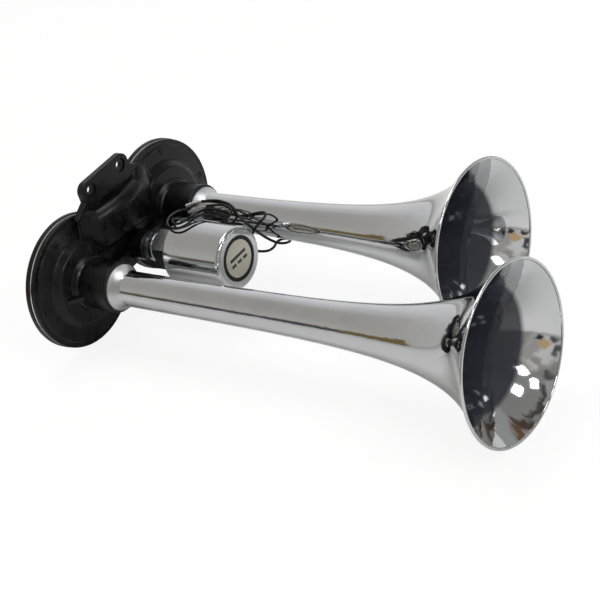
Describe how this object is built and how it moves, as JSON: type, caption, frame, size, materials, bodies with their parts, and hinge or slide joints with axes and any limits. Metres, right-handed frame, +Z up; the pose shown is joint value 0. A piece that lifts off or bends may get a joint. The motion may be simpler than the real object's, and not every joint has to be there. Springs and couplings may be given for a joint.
{
  "type": "twin-trumpet car air horn",
  "caption": "Compact air horn: two flared chrome trumpets on one black casting with diaphragm housings, a mounting tab and a solenoid air valve between them.",
  "frame": {"origin": "midway between the two bolt holes, on the back face of the mounting tab", "axes": "+X along the trumpets towards their bells, +Z up towards the top of the tab, +Y towards the short trumpet"},
  "size_m": [0.3443, 0.2036, 0.1149],
  "materials": {
    "black_casting": "semi-gloss moulded black",
    "black_cover": "semi-gloss black",
    "bright_ring": "bright turned edge",
    "spring_steel": "rolled sheet",
    "gasket_rubber": "matt",
    "screw_steel": "blackened",
    "chrome_plate": "mirror",
    "zinc_steel": "zinc plated",
    "soft_iron": "ground",
    "winding": "enamelled copper wire",
    "bobbin_plastic": "natural nylon",
    "badge_metal": "brushed",
    "badge_black": "gloss black",
    "wire_cover": "glossy black PVC",
    "tinned_copper": "tinned strands"
  },
  "bodies": {
    "horn": {"badge_disc": "badge_metal", "badge_ring": "badge_black", "bobbin": "bobbin_plastic", "coil": "winding", "fixed_core": "soft_iron", "front_yoke": "soft_iron", "guide_tube": "spring_steel", "horn_base": "black_casting", "lead_a": "wire_cover", "lead_a_tip": "tinned_copper", "lead_b": "wire_cover", "lead_b_tip": "tinned_copper", "long_back_cover": "black_cover", "long_clamp_ring": "bright_ring", "long_cover_screws": "screw_steel", "long_diaphragm": "spring_steel", "long_gasket": "gasket_rubber", "long_trumpet": "chrome_plate", "long_trumpet_seal": "gasket_rubber", "rear_yoke": "soft_iron", "return_spring": "spring_steel", "short_back_cover": "black_cover", "short_clamp_ring": "bright_ring", "short_cover_screws": "screw_steel", "short_diaphragm": "spring_steel", "short_gasket": "gasket_rubber", "short_trumpet": "chrome_plate", "short_trumpet_seal": "gasket_rubber", "solenoid_can": "chrome_plate", "stem_washer": "zinc_steel", "valve_body": "zinc_steel", "wire_grommet": "gasket_rubber"},
    "plunger": {"plunger": "soft_iron", "plunger_seal": "gasket_rubber"}
  },
  "joints": [
    {"name": "valve_stroke", "type": "slide", "parent": "horn", "child": "plunger", "axis": [1, 0, 0], "range_m": [0, 0.002], "stiffness_N_per_m": 400, "springref_m": -0.006, "deforming": ["return_spring"]}
  ]
}
